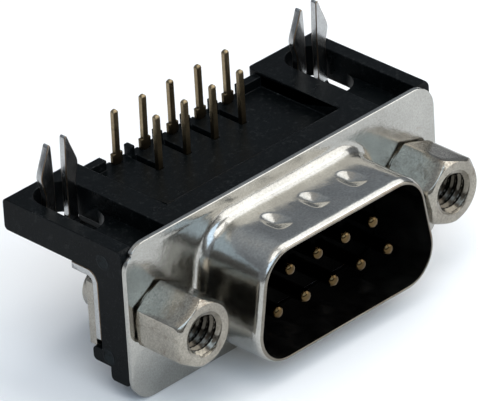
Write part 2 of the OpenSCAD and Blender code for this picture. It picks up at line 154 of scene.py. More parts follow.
def noise_of(tree, vector, scale, detail=4.0, rough=0.55, distort=0.0):
    noise = node(tree, "ShaderNodeTexNoise", Scale=scale, Detail=detail, Roughness=rough,
                 Distortion=distort)
    link(tree, vector, noise.inputs["Vector"])
    return noise.outputs["Fac"]


def ramp(tree, fac, stops):
    """Colours by position; each stop is (position, colour)."""
    colours = node(tree, "ShaderNodeValToRGB")
    elements = colours.color_ramp.elements
    while len(elements) > 1:
        elements.remove(elements[-1])
    elements[0].position, elements[0].color = stops[0][0], (*stops[0][1], 1)
    for position, colour in stops[1:]:
        elements.new(position).color = (*colour, 1)
    link(tree, fac, colours.inputs["Fac"])
    return colours.outputs["Color"]


def grey(v):
    return (v, v, v)


def darker(colour, share):
    return tuple(c * share for c in colour)


def spread(tree, fac, low, high, start=0.3, end=0.7):
    """Low at the start of a range of fac, high at its end, even between and level beyond."""
    span = node(tree, "ShaderNodeMapRange")
    span.inputs["From Min"].default_value = start
    span.inputs["From Max"].default_value = end
    span.inputs["To Min"].default_value = low
    span.inputs["To Max"].default_value = high
    link(tree, fac, span.inputs["Value"])
    return span.outputs["Result"]


def math_of(tree, operation, *values):
    """Result of a calculation; each value is a number or another node's output."""
    made = node(tree, "ShaderNodeMath", operation=operation)
    for socket, value in zip(made.inputs, values):
        if isinstance(value, float):
            socket.default_value = value
        else:
            link(tree, value, socket)
    return made.outputs[0]


def bumps(tree, shader, *layers):
    """Each layer is (height output, strength, distance in metres)."""
    last = None
    for height, strength, distance in layers:
        bump = node(tree, "ShaderNodeBump", Strength=strength, Distance=distance)
        link(tree, height, bump.inputs["Height"])
        if last is not None:
            link(tree, last, bump.inputs["Normal"])
        last = bump.outputs["Normal"]
    link(tree, last, shader.inputs["Normal"])


def mix_colour(tree, fac, a, b):
    """Colour a where fac is 0 and b where it is 1; each is a tuple or another node's output."""
    mix = node(tree, "ShaderNodeMix", data_type="RGBA")
    link(tree, fac, mix.inputs["Factor"])
    for socket, value in ((mix.inputs[6], a), (mix.inputs[7], b)):
        if isinstance(value, tuple):
            socket.default_value = (*value, 1)
        else:
            link(tree, value, socket)
    return mix.outputs[2]


def distance_to(tree, places):
    """Distance in metres to the nearest of some places given in millimetres."""
    nearest = None
    for place in places:
        far = node(tree, "ShaderNodeVectorMath", operation="DISTANCE")
        link(tree, coords(tree), far.inputs[0])
        far.inputs[1].default_value = [v * MM for v in place]
        far = far.outputs["Value"]
        nearest = far if nearest is None else math_of(tree, "MINIMUM", nearest, far)
    return nearest


def ring_round(tree, distance, radius, width):
    """One on a circle of a radius in millimetres, falling to nothing beside it."""
    off = math_of(tree, "SUBTRACT", distance, radius * MM)
    return spread(tree, math_of(tree, "ABSOLUTE", off), 1.0, 0.0, 0.0, width * MM)


# Materials

def plated_metal(name, light, dark, rough, stain, stain_from=0.62, grain=(1, 1, 1),
                 grain_bump=0.05, waves=1.0, grit=1.0, flecks=0.42, painted_shade=None):
    """Plating: cloudy colour, thin stains, dark flecks, rolling grain, pits and scratches.

    rough holds the lowest and highest roughness. stain_from is the noise value at which stains
    start, so that a lower one means more of them. painted_shade is an axis and two places on it
    in millimetres, between which the colour goes from painted shade to the plating's own.
    """
    fleck_tone, shade_tone, shade_share, stain_share, stain_fade = 0.45, 0.25, 0.85, 0.7, 0.14
    mat, tree, shader = material(name)
    shader.inputs["Metallic"].default_value = 1.0
    flat = coords(tree)
    clouds = noise_of(tree, flat, scale=260, detail=5, rough=0.6)
    base = ramp(tree, clouds, [(0.30, dark), (0.64, light)])
    motes = noise_of(tree, flat, scale=6500, detail=2, rough=0.7)
    base = mix_colour(tree, spread(tree, motes, 0.0, flecks), base, darker(dark, fleck_tone))
    # Painted shade: the colour darkens towards the first place on the axis and is the plating's
    # own at the second.
    if painted_shade:
        axis, shaded_end, bright = painted_shade
        sep = node(tree, "ShaderNodeSeparateXYZ")
        link(tree, flat, sep.inputs["Vector"])
        share = spread(tree, sep.outputs[axis], shade_share, 0.0, shaded_end * MM, bright * MM)
        base = mix_colour(tree, share, base, darker(dark, shade_tone))
    stains = noise_of(tree, flat, scale=620, detail=8, rough=0.72, distort=0.6)
    mask = spread(tree, stains, 0.0, stain_share, stain_from, stain_from + stain_fade)
    link(tree, mix_colour(tree, mask, base, stain), shader.inputs["Base Color"])
    smears = noise_of(tree, flat, scale=700, detail=6, rough=0.65, distort=0.3)
    link(tree, spread(tree, smears, *rough), shader.inputs["Roughness"])
    lines = noise_of(tree, coords(tree, grain), scale=9000, detail=2, rough=0.5)
    slanted = coords(tree, scale=(1, 0.06, 1), turn=(0.3, 0.5, 0.9))
    scratches = noise_of(tree, slanted, scale=2600, detail=3, rough=0.6)
    pits = noise_of(tree, flat, scale=5600, detail=3, rough=0.65)
    swell = noise_of(tree, flat, scale=330, detail=2, rough=0.4)
    ripple = noise_of(tree, flat, scale=1100, detail=3, rough=0.5)
    bumps(tree, shader, (swell, 0.5, 0.060 * MM * waves), (ripple, 0.40, 0.022 * MM * waves),
          (scratches, 0.06, 0.010 * MM), (pits, 0.30, 0.007 * MM * grit),
          (lines, grain_bump, 0.008 * MM))
    return mat


def moulded_plastic(name, colour, rough, spec, speck, marks=()):
    """Black plastic: fine erosion texture, pale specks, dust, soft colour drift, ejector marks.

    rough holds the lowest and highest roughness, speck is how pale the specks are, and marks
    holds the middles of the ejector marks in millimetres.
    """
    mat, tree, shader = material(name)
    flat = coords(tree)
    drift = noise_of(tree, flat, scale=190, detail=5, rough=0.6)
    specks = noise_of(tree, flat, scale=9500, detail=2, rough=0.6)
    base = ramp(tree, drift, [(0.3, darker(colour, 0.75)), (0.7, darker(colour, 1.25))])
    mask = spread(tree, specks, 0.0, 0.7, 0.62, 0.76)
    base = mix_colour(tree, mask, base, (speck, speck, speck * 1.05))
    dust = noise_of(tree, flat, scale=2300, detail=6, rough=0.75)
    dust_colour = (speck * 0.9, speck * 0.95, speck * 0.92)
    base = mix_colour(tree, spread(tree, dust, 0.0, 0.55, 0.55, 0.74), base, dust_colour)
    if marks:
        near = distance_to(tree, marks)
        disc = spread(tree, near, 1.0, 0.0, 0.45 * MM, 0.72 * MM)
        scuff = math_of(tree, "MULTIPLY", disc, spread(tree, dust, 0.0, 1.0, 0.42, 0.56))
        base = mix_colour(tree, scuff, base, darker(colour, 4.5))
    link(tree, base, shader.inputs["Base Color"])
    shader.inputs["Specular IOR Level"].default_value = spec
    rub = noise_of(tree, flat, scale=520, detail=6, rough=0.65, distort=0.4)
    link(tree, spread(tree, rub, *rough), shader.inputs["Roughness"])
    fine = noise_of(tree, flat, scale=5200, detail=4, rough=0.6)
    broad = noise_of(tree, flat, scale=300, detail=3, rough=0.5)
    layers = [(broad, 0.15, 0.030 * MM), (fine, 0.35, 0.009 * MM)]
    if marks:
        layers.append((ring_round(tree, near, radius=0.52, width=0.10), 0.35, 0.030 * MM))
    bumps(tree, shader, *layers)
    return mat


# Ejector marks on the bracket's end faces
MARKS = [(side * END_X, y, z) for side in (-1, 1) for y, z in ((2.26, 4.54), (2.3, -3.14))]

# Grain squeezed along an axis looks drawn out along it
ALONG_Y, ALONG_Z = (1, 0.1, 1), (1, 1, 0.1)

SHELL = plated_metal(
    "shell_nickel", light=(0.50, 0.49, 0.455), dark=(0.395, 0.385, 0.355), rough=(0.13, 0.23),
    stain=(0.22, 0.165, 0.115), grain=(1, 1, 0.12), grain_bump=0.06, waves=2.2, grit=1.8)
# Darker, browner rim strips: partly the sheet's cut edge, partly painted shade darkening the
# rim.
CUT_AND_SHADE = plated_metal(
    "shell_cut_edge_and_shade", light=(0.27, 0.25, 0.215), dark=(0.16, 0.14, 0.11), rough=(0.16, 0.28),
    stain=(0.12, 0.08, 0.05), stain_from=0.54, grain=(1, 1, 0.12), grain_bump=0.10)
LOCK = plated_metal(
    "screwlock_nickel", light=(0.435, 0.405, 0.345), dark=(0.28, 0.258, 0.22),
    rough=(0.13, 0.25), stain=(0.13, 0.10, 0.075), stain_from=0.54, grain=ALONG_Y,
    grain_bump=0.10, grit=1.8, flecks=0.55)
# The bore's metal is darker than the screwlock's, partly as painted shade inside the hole, and
# it darkens further from y = -4.3 mm inwards to y = -3.2 mm as painted shade deeper in.
BORE = plated_metal(
    "bore_metal", light=(0.36, 0.335, 0.285), dark=(0.11, 0.096, 0.075), rough=(0.12, 0.20),
    stain=(0.05, 0.035, 0.025), stain_from=0.54, grain=ALONG_Y, grain_bump=0.06, waves=0.5,
    grit=0.6, painted_shade=("Y", -3.2, -4.3))
STRAP = plated_metal(
    "strap_tin", light=(0.50, 0.505, 0.50), dark=(0.40, 0.40, 0.395), rough=(0.15, 0.27),
    stain=(0.34, 0.28, 0.22), stain_from=0.66, grain=(1, 1, 0.15), grain_bump=0.08)
SHEARED = plated_metal(
    "sheared_edge", light=(0.26, 0.185, 0.12), dark=(0.13, 0.085, 0.05), rough=(0.25, 0.40),
    stain=(0.40, 0.38, 0.35), stain_from=0.52, grain=(1, 1, 0.15), grain_bump=0.12)
NUT = plated_metal(
    "nut_nickel", light=(0.41, 0.385, 0.34), dark=(0.29, 0.27, 0.235), rough=(0.20, 0.34),
    stain=(0.22, 0.18, 0.14))
# Painted shade: the tails get darker low down, fully below 5.2 mm and fading out by 6.6 mm,
# round the shoulders over the deck.
CONTACT = plated_metal(
    "tail_brass", light=(0.36, 0.285, 0.175), dark=(0.22, 0.165, 0.095), rough=(0.26, 0.42),
    stain=(0.10, 0.07, 0.04), stain_from=0.58, grain=ALONG_Z, grain_bump=0.12,
    painted_shade=("Z", 5.2, 6.6))
# The gold is painted far darker than plating, partly as painted shade for the pins inside the D.
PIN = plated_metal(
    "pin_gold_and_shade", light=(0.120, 0.080, 0.036), dark=(0.066, 0.042, 0.017), rough=(0.04, 0.09),
    stain=(0.04, 0.025, 0.012), stain_from=0.54, grain=ALONG_Y, grain_bump=0.08)
BRACKET = moulded_plastic(
    "bracket_plastic", (0.0018, 0.0026, 0.0029), rough=(0.24, 0.40), spec=0.056, speck=0.034,
    marks=MARKS)
RUBBED = moulded_plastic(
    "rubbed_edge", (0.0030, 0.0038, 0.0042), rough=(0.30, 0.45), spec=0.075, speck=0.07)
INSULATOR = moulded_plastic(
    "insulator_plastic", grey(0.0006), rough=(0.50, 0.65), spec=0.02, speck=0.002)


# Mesh helpers

class Mesh:
    """Points, faces and the kind of each face that isn't of the first material."""

    def __init__(self):
        self.v, self.f, self.kinds = [], [], {}

    def ring(self, points):
        start = len(self.v)
        self.v.extend(tuple(p) for p in points)
        return list(range(start, start + len(points)))

    def bridge(self, a, b, kind=0):
        n = len(a)
        for k in range(n):
            k2 = (k + 1) % n
            if kind:
                self.kinds[len(self.f)] = kind
            self.f.append((a[k], b[k], b[k2], a[k2]))

    def lathe(self, rings, inside=None):
        """Bridges rings in turn and closes both ends.

        From the ring numbered inside on, the faces are of the second material.
        """
        for k, (a, b) in enumerate(zip(rings, rings[1:])):
            self.bridge(a, b, 1 if inside is not None and k >= inside else 0)
        self.f += [tuple(rings[0]), tuple(rings[-1])]

    def flat(self, loops, u=0, v=2):
        """Fills a flat outline with holes; loops are lists of point numbers."""
        ids = [i for loop in loops for i in loop]
        flat_loops = [[Vector((self.v[i][u], self.v[i][v], 0)) for i in loop] for loop in loops]
        for triangle in tessellate_polygon(flat_loops):
            self.f.append(tuple(ids[i] for i in triangle))

    def join(self, other):
        start, faces = len(self.v), len(self.f)
        self.v += other.v
        self.f += [tuple(i + start for i in f) for f in other.f]
        self.kinds.update({k + faces: kind for k, kind in other.kinds.items()})

    def recolour(self, kind):
        self.kinds = {k: kind for k in range(len(self.f))}
        return self


def add_piece(name, m, mats, stands_for, sharp=35.0, merge=1e-7, weighted=False):
    """Makes the object of a mesh in millimetres, shown in place of a node of the frame."""
    me = bpy.data.meshes.new(name)
    me.from_pydata([tuple(c * MM for c in v) for v in m.v], [], m.f)
    for index, kind in m.kinds.items():
        me.polygons[index].material_index = kind
    bm = bmesh.new()
    bm.from_mesh(me)
    bmesh.ops.remove_doubles(bm, verts=bm.verts, dist=merge)
    bmesh.ops.dissolve_degenerate(bm, edges=bm.edges, dist=1e-8)
    bmesh.ops.recalc_face_normals(bm, faces=bm.faces)
    bm.to_mesh(me)
    bm.free()
    for mat in mats:
        me.materials.append(mat)
    for p in me.polygons:
        p.use_smooth = True
    me.set_sharp_from_angle(angle=math.radians(sharp))
    ob = bpy.data.objects.new(name, me)
    bpy.context.scene.collection.objects.link(ob)
    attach(ob, "root")
    if weighted:
        ob.modifiers.new("normals", "WEIGHTED_NORMAL").keep_sharp = True
    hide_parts(stands_for)


def cos(degrees):
    return math.cos(math.radians(degrees))


def sin(degrees):
    return math.sin(math.radians(degrees))


def arc(cx, cy, r, start, end, steps):
    """Points on an arc between two angles in degrees, ends included."""
    angles = [start + (end - start) * i / steps for i in range(steps + 1)]
    return [(cx + r * cos(a), cy + r * sin(a)) for a in angles]


def circle(x, y, z, r, count):
    """Points round an axis along Y."""
    turns = [t * math.tau / count for t in range(count)]
    return [(x + r * math.cos(a), y, z + r * math.sin(a)) for a in turns]


def line(p, q, steps):
    """Points after p up to and with q."""
    shares = [i / steps for i in range(1, steps + 1)]
    return [(p[0] + (q[0] - p[0]) * s, p[1] + (q[1] - p[1]) * s) for s in shares]


def rounded_box(half, low, high, r, by, steps, x0=0.0):
    """Outline of a plate with rounded corners, moved in by a distance, as (x, z)."""
    x, below, above = half - r, low + r, high - r
    corners = ((x, below), (x, above), (-x, above), (-x, below))
    pts = []
    for (cx, cz), start in zip(corners, (-90, 0, 90, 180)):
        pts += arc(x0 + cx, cz, r - by, start, start + 90, steps)
    return pts


def inset(loop, by):
    """Moves a closed outline to its left by a distance; anticlockwise outlines shrink."""
    out = []
    for i, p in enumerate(loop):
        before, after = Vector(loop[i - 1]), Vector(loop[(i + 1) % len(loop)])
        p = Vector(p)
        d1, d2 = (p - before).normalized(), (after - p).normalized()
        n1, n2 = Vector((-d1.y, d1.x)), Vector((-d2.y, d2.x))
        out.append(tuple(p + (n1 + n2) * by / (1 + n1.dot(n2))))
    return out


def blank(m, loops, thick, edge):
    """A stamped blank with eased edges; each loop is (across, along) with metal on its left.

    The cut edge is of the first material between its roundings, and of the second on them.
    """
    half = thick / 2
    soft = edge * (1 - math.sqrt(0.5))
    levels = [(edge, -half), (soft, soft - half), (0.0, edge - half)]
    levels += [(by, -w) for by, w in reversed(levels)]
    middle = 2
    ends = [[], []]
    for loop in loops:
        rings = [m.ring([(u, v, w) for u, v in inset(loop, by)]) for by, w in levels]
        for k, (low, high) in enumerate(zip(rings, rings[1:])):
            m.bridge(low, high, 0 if k == middle else 1)
        ends[0].append(rings[0])
        ends[1].append(rings[-1])
    for rims in ends:
        m.flat(rims, 0, 1)


class Bends:
    """The middle line of a bent strip in the YZ plane, made of straights and turns."""

    def __init__(self, y, z, heading):
        self.legs = []
        self.length = 0.0
        self.end = (y, z, math.radians(heading))

    def go(self, length):
        return self._add(length, 0.0)

    def turn(self, radius, degrees):
        angle = math.radians(degrees)
        return self._add(abs(angle) * radius, angle)

    def _add(self, length, angle):
        self.legs.append((self.length, length, angle, self.end))
        self.length += length
        self.end = self.at(self.length)
        return self

    def at(self, v):
        """Place and heading at a distance along the strip."""
        start, length, angle, (y, z, a) = self.legs[0]
        for leg in self.legs:
            if v >= leg[0]:
                start, length, angle, (y, z, a) = leg
        run = v - start
        if not angle:
            return y + run * math.cos(a), z + run * math.sin(a), a
        radius = length / angle
        now = a + run / radius
        return (y + radius * (math.sin(now) - math.sin(a)),
                z - radius * (math.cos(now) - math.cos(a)), now)

    def cuts(self, step=12):
        """Where the strip is cut across so that it can bend, every step degrees."""
        for start, length, angle, _ in self.legs:
            if angle:
                count = max(2, round(abs(math.degrees(angle)) / step))
                for k in range(count + 1):
                    yield start + length * k / count


def bend_up(m, bends, x0, thin=lambda v: 1.0, sway=lambda z: 0.0):
    """Cuts a blank across at each bend and lays it along the bent middle line.

    thin gives its thickness along the strip as a share, and sway its shift sideways by height.
    """
    bm = bmesh.new()
    verts = [bm.verts.new(p) for p in m.v]
    for k, f in enumerate(m.f):
        bm.faces.new([verts[i] for i in f]).material_index = m.kinds.get(k, 0)
    for cut in bends.cuts():
        bmesh.ops.bisect_plane(bm, geom=bm.verts[:] + bm.edges[:] + bm.faces[:], dist=1e-5,
                               plane_co=(0, cut, 0), plane_no=(0, 1, 0))
    bm.verts.index_update()
    out = Mesh()
    for vert in bm.verts:
        u, v, w = vert.co
        y, z, a = bends.at(v)
        w *= thin(v)
        z += w * math.cos(a)
        out.v.append((x0 + u + sway(z), y - w * math.sin(a), z))
    for k, f in enumerate(bm.faces):
        out.f.append(tuple(v.index for v in f.verts))
        if f.material_index:
            out.kinds[k] = f.material_index
    bm.free()
    return out


# Front shell

def d_stations(corner_steps, spacing):
    """Corner centre and outward direction all round the D, along the straights too."""
    cz = D_H / 2 - D_R
    lx = D_W / 2 - D_R
    hx = lx - 2 * cz * math.tan(math.radians(D_TAPER))
    centres = [(-lx, -cz), (lx, -cz), (hx, cz), (-hx, cz)]
    starts = [180 - D_TAPER, 270, D_TAPER, 90]
    turns = [90 + D_TAPER, 90 + D_TAPER, 90 - D_TAPER, 90 - D_TAPER]
    out = []
    for i in range(4):
        c, n = centres[i], centres[(i + 1) % 4]
        for k in range(corner_steps + 1):
            out.append((c, starts[i] + turns[i] * k / corner_steps))
        end = starts[i] + turns[i]
        steps = max(1, round(math.dist(c, n) / spacing))
        out += [(p, end) for p in line(c, n, steps)[:-1]]
    return out


def dimple(x, height):
    """How deep the stamped dimples are at a place on a long side of the D.

    They are hipped towards the rim, round towards the flange and soft in the middle.
    """
    best = 0.0
    w = (height - DIMPLE_Y) / (DIMPLE_LEN / 2)
    power = DIMPLE_HIPPED if w > 0 else DIMPLE_ROUND
    for i in (-1, 0, 1):
        u = abs(x - i * DIMPLE_PITCH) / (DIMPLE_W / 2 + DIMPLE_WIDER)
        far = math.hypot((u ** power + abs(w) ** power) ** (1 / power), DIMPLE_SOFT)
        if far < 1:
            best = max(best, DIMPLE_DEPTH * DIMPLE_DEEPER * (1 - far))
    return best


def flange_outline(by, y):
    """The flange's outline moved in by a distance, with the dent at its corner."""
    out = []
    for p in rounded_box(FLANGE_W / 2, -FLANGE_H / 2, FLANGE_H / 2, FLANGE_R, by, steps=24):
        nick = 1 - NICK_SHARE * max(0.0, 1 - math.dist(p, NICK) / NICK_R)
        out.append((p[0] * nick, y, p[1] * nick))
    return out


def build_shell():
    """The drawn sheet swept round the D, joined to the flange in front and behind."""
    m = Mesh()
    wall_steps, foot_steps, rim_in_steps = 40, 10, 3
    outer_r, foot_edge = D_R + SHELL_T, D_R + SHELL_T + FOOT_R
    # The sheet in section, as (distance from the corner's centre, height over the flange)
    section = arc(D_R + RIM_IN, D_DEPTH - RIM_IN, RIM_IN, 180, 90, rim_in_steps)
    section += [(outer_r - RIM_WIDE * (1 - cos(t)), D_DEPTH - RIM_LONG * (1 - sin(t)))
                for t in range(90, -1, -6)]
    section += line(section[-1], (outer_r, FOOT_R), wall_steps)
    section += arc(foot_edge, FOOT_R, FOOT_R, 180, 270, foot_steps)[1:]
    front_end = len(section) - 1
    section += arc(foot_edge, FOOT_R, FOOT_R + SHELL_T, 270, 180, foot_steps)
    section += line(section[-1], (D_R, D_DEPTH - RIM_IN), wall_steps)[:-1]
    # The first strips round the rim take the darker material, partly as painted shade.
    cut_and_shade_strips = rim_in_steps + 6
    rings = []
    for c, direction in d_stations(corner_steps=20, spacing=0.1):
        ca, sa = cos(direction), sin(direction)
        long_side = abs(abs(sa) - 1) < 1e-9
        pts = []
        for r, h in section:
            x, z = c[0] + r * ca, c[1] + r * sa
            if long_side and FOOT_R * 0.6 < h < D_DEPTH - RIM_LONG and r < foot_edge:
                z -= math.copysign(dimple(x, h), sa)
            pts.append((x, -h, z))
        rings.append(m.ring(pts))
    count = len(section)
    for j, ring in enumerate(rings):
        nxt = rings[(j + 1) % len(rings)]
        for k in range(count):
            k2 = (k + 1) % count
            if k == front_end:
                continue
            if k < cut_and_shade_strips:
                m.kinds[len(m.f)] = 1
            m.f.append((ring[k], nxt[k], nxt[k2], ring[k2]))
    front_loop = [r[front_end] for r in rings]
    back_loop = [r[front_end + 1] for r in rings]

    front_edge, rear_edge = 0.06, 0.04
    steps = [(front_edge, 0.0)]
    steps += [(front_edge * (1 - sin(a)), front_edge * (1 - cos(a))) for a in (30, 60, 90)]
    steps += [(0.0, SHELL_T - rear_edge), (rear_edge, SHELL_T)]
    loops = [m.ring(flange_outline(by, y)) for by, y in steps]
    for a, b in zip(loops, loops[1:]):
        m.bridge(a, b)
    holes = []
    for side in (-1, 1):
        front, rear = [m.ring(circle(side * HOLE_X, y, 0.0, HOLE_R, 40)) for y in (0.0, SHELL_T)]
        m.bridge(front, rear)
        holes.append((front, rear))
    m.flat([loops[0], holes[0][0], holes[1][0], front_loop])
    m.flat([loops[-1], holes[0][1], holes[1][1], back_loop])
    add_piece("shell", m, [SHELL, CUT_AND_SHADE], "front_shell", sharp=32, merge=2e-9)


# Screwlocks

def thread(depth, turn):
    """Height of a 60 degree thread above its root, at a depth and an angle in turns."""
    root_flat, flank = 0.12, 0.70
    t = (depth / THREAD_PITCH + turn) % 1.0
    tri = 1 - abs(2 * t - 1)
    return THREAD_H * min(1.0, max(0.0, (tri - root_flat) / flank))


def build_screwlock(name, x0, turn, node_name):
    """Turned from the stud's tip over the collar and hexagon into the threaded bore."""
    m = Mesh()
    cols, stud_steps, side_steps, bore_steps = 96, 72, 6, 170
    corner_r = HEX_AF / 2 / cos(30)
    corner_worn = 0.035
    rings = []

    def place(profile, y=0.0):
        """Adds a ring; profile gives the radius and the extra height at each angle."""
        pts = []
        for k in range(cols):
            deg = 360 * k / cols + turn
            r, dy = profile(deg)
            pts.append((x0 + r * cos(deg), -(y + dy), r * sin(deg)))
        rings.append(m.ring(pts))

    def turned(r, y):
        place(lambda deg: (r, 0), y)

    def hexagon(height, inset_by=0.0):
        """Adds a ring on the hexagon; height is worked out from the radius at each angle."""
        def profile(deg):
            off = (deg - 30 - turn) % 60 - 30
            r = min(HEX_AF / 2 / cos(off), corner_r - corner_worn)
            return r - inset_by, height(r)
        place(profile)

    def chamfer_y(r):
        return HEX_LEN - HEX_CHAMFER * max(0.0, r - HEX_FACE_R) / (corner_r - HEX_FACE_R)

    def rear_y(r):
        start, end = COLLAR_R + 0.1, corner_r + 0.2
        return COLLAR_H + REAR_SLOPE_H * max(0.0, r - start) / (end - start)

    # Stud from its tip up to the collar; its first turns are lower and its last bit is plain
    stud_root, first_y, plain_len = STUD_R - THREAD_H, 0.02 - STUD_LEN, 0.30
    lead_len, top_in, root_in = 0.45, 0.38, 0.1
    turned(STUD_R - 0.40, -STUD_LEN)
    for i in range(stud_steps + 1):
        y = first_y + (STUD_LEN - plain_len) * i / stud_steps
        missing = 1 - min(1.0, (y + STUD_LEN) / lead_len)
        low, top = stud_root - root_in * missing, STUD_R - top_in * missing
        place(lambda deg: (max(low, min(top, stud_root + thread(y, -deg / 360))), 0), y)
    turned(stud_root, -0.12)
    turned(STUD_R - 0.02, -0.04)
    turned(STUD_R, 0.0)
    # Collar
    turned(COLLAR_R - 0.03, 0.0)
    turned(COLLAR_R, 0.03)
    turned(COLLAR_R, COLLAR_H)
    turned(COLLAR_R + 0.05, COLLAR_H)
    # Hexagon with eased edges, chamfer and front face
    edge, both_edges = 0.03, 0.05
    hexagon(rear_y, edge)
    hexagon(lambda r: rear_y(r) + edge)
    for i in range(1, side_steps):
        share = i / side_steps
        hexagon(lambda r: rear_y(r) + edge + (chamfer_y(r) - rear_y(r) - both_edges) * share)
    hexagon(lambda r: chamfer_y(r) - 0.022)
    hexagon(lambda r: chamfer_y(r) - 0.0048, 0.008)
    turned(HEX_FACE_R + 0.015, chamfer_y(HEX_FACE_R + 0.015))
    turned(HEX_FACE_R - 0.02, HEX_LEN)
    # Faint turned rings on the front face
    for r in (2.2, 2.1, 2.0, 1.92):
        turned(r, HEX_LEN - 0.004 * (1 + math.sin(r * 40)))
    turned(SINK_R + 0.015, HEX_LEN - 0.004)
    # Countersink and threaded bore, whose first rows are still of the first material
    sink_slope, bright_rows, bore_root, mouth_y = 2.4, 2, THREAD_R - 0.01, HEX_LEN - 0.012
    inside = len(rings) + bright_rows
    for i in range(bore_steps + 1):
        y = mouth_y - (THREAD_DEPTH - 0.02) * i / bore_steps
        sink = SINK_R - (HEX_LEN - y) * sink_slope
        place(lambda deg: (max(bore_root - thread(y, -deg / 360), sink), 0), y)
    # The drill's point at the bottom
    drill_r, floor_y = 1.12, HEX_LEN - THREAD_DEPTH
    turned(drill_r, floor_y - 0.02)
    turned(0.05, floor_y - DRILL_POINT)
    m.lathe(rings, inside)
    add_piece(name, m, [LOCK, BORE], node_name, sharp=28)


# Contacts

def turned_pin(x0, z0):
    """The mating pin with its domed nose, of the second material."""
    m = Mesh()
    centre_r, edge = 0.02, 0.05
    nose = PIN_REACH - PIN_NOSE
    profile = [(centre_r, -PIN_BACK), (PIN_R - edge, -PIN_BACK), (PIN_R, edge - PIN_BACK),
               (PIN_R, nose - edge), (PIN_R, nose)]
    profile += [(PIN_R * cos(a) ** PIN_BLUNT, nose + PIN_NOSE * sin(a)) for a in range(8, 90, 8)]
    profile.append((centre_r, PIN_REACH))
    m.lathe([m.ring(circle(x0, -h, z0, r, 32)) for r, h in profile])
    return m.recolour(1)


def build_contact(i):
    """A turned pin with a stamped strip behind it that bends up into the solder tail."""
    lower = i <= 5
    x0 = (i - 3) * PITCH if lower else (i - 7.5) * PITCH
    z0 = -ROW_GAP / 2 if lower else ROW_GAP / 2
    y_tail = TAIL_Y + TAIL_ROW_GAP if lower else TAIL_Y
    radius = TAIL_BEND_R + TAIL_T / 2
    tip_z = SEAT_Z + TAIL_REACH
    bends = Bends(ARM_FRONT, z0, 0).go(y_tail - radius - ARM_FRONT).turn(radius, 90)
    up_from = bends.length - z0 - radius
    bends.go(tip_z - z0 - radius)
    half = TAIL_W / 2
    side = [(half, 0.0)]
    if lower:
        low = up_from + DECK_Z + CONTACT_GAP
        high = low + SHOULDER_H
        wide = SHOULDER_W / 2
        side += [(half, low), (wide, low), (wide, high - SHOULDER_SLOPE),
                 (wide - SHOULDER_SLOPE, high), (half, high)]
    tip = up_from + tip_z
    side += arc(0, tip - half, half, 0, 75, 5)
    m = Mesh()
    blank(m, [side + [(0.0, tip)] + [(-u, v) for u, v in reversed(side)]], TAIL_T, 0.045)

    def coined(v):
        """The tip is pressed thinner over its last bit."""
        thinner, over = 0.45, 0.30
        return 1 - thinner * max(0.0, 1 - (bends.length - v) / over) ** 2

    def sway(z):
        """The first two tails bow a little to the left."""
        bow, bow_from, bow_len = {1: -0.05, 2: -0.06}.get(i, 0.0), 5.7, 3.4
        return bow * math.sin(max(0.0, z - bow_from) / bow_len * math.pi * 1.5)

    m = bend_up(m, bends, x0, coined, sway)
    m.kinds = {}
    m.join(turned_pin(x0, z0))
    add_piece("contact_piece_%d" % i, m, [CONTACT, PIN], "contact_%d" % i,
              sharp=50, weighted=True)


# Boardlock straps

def prong_side():
    """Right-hand edge of the fork as (x, z), read from the photo.

    It runs from the slot's floor up the inner edge, round the tip and down the barb.
    """
    top = SEAT_Z + FORK_REACH - 0.04
    inner = FORK_SLOT_W / 2 + SLOT_WIDER
    return [
        (inner, EAR_UNDER_Z + FORK_SLOT_UP - SLOT_LOWER),
        (inner, top - 2.60),
        (inner + 0.08, top - 0.40),
        (inner + 0.10, top - 0.14),
        (inner + 0.17, top - 0.02),
        (inner + 0.25, top),
        (inner + 0.33, top - 0.05),
        (0.97, top - 0.22),
        (1.18, top - 0.78),
        (1.46, top - 1.44),
        (1.68, top - 2.02),
        (BARB_HALF, top - 2.30),
        (BARB_HALF, top - 2.52),
        (1.68, top - 2.80),
        (1.52, top - 3.35),
        (TONGUE_W / 2 - WAIST_IN, top - 3.80),
        (TONGUE_W / 2, SEAT_Z - 0.2),
    ]


def build_strap(name, x0, node_name):
    """Plate behind the front wall, tongue under the ear and sprung fork, bent from one blank."""
    corner, edge, hole_r = 0.08, 0.06, HOLE_R + STRAP_GAP
    plate_bend = EAR_FILLET_R - STRAP_T / 2
    fork_bend = FORK_BEND_R + STRAP_T / 2
    tongue_z = EAR_UNDER_Z - STRAP_GAP - STRAP_T / 2
    bends = Bends(WALL_BACK + STRAP_T / 2, STRAP_LOW_Z, 90)
    bends.go(tongue_z - plate_bend - STRAP_LOW_Z).turn(plate_bend, -90)
    narrow = bends.length + WALL_BACK + STRAP_WIDE_LEN - bends.end[0]
    bends.go(FORK_Y - STRAP_T / 2 - fork_bend - bends.end[0]).turn(fork_bend, 90)
    up_from = bends.length - bends.end[1]
    bends.go(SEAT_Z + FORK_REACH - bends.end[1])
    side = [(x, z + up_from) for x, z in prong_side()]
    right = [(STRAP_W / 2, 0.0), (STRAP_W / 2, narrow - corner), (STRAP_W / 2 - corner, narrow),
             (TONGUE_W / 2, narrow)] + list(reversed(side[1:]))
    floor = side[0][1] - SLOT_FLOOR_DROP
    corners = arc(side[0][0] - SLOT_CORNER, floor + SLOT_CORNER, SLOT_CORNER, 0, -90, 5)
    slot = corners + [(-u, v) for u, v in reversed(corners)]
    outline = right + slot + [(-u, v) for u, v in reversed(right)]
    hole = [(z, x - STRAP_LOW_Z) for x, _, z in circle(0.0, 0.0, 0.0, hole_r, 32)]
    m = Mesh()
    blank(m, [outline, hole], STRAP_T, edge)
    add_piece(name, bend_up(m, bends, x0), [STRAP, SHEARED], node_name,
              sharp=50, weighted=True)


# Nuts

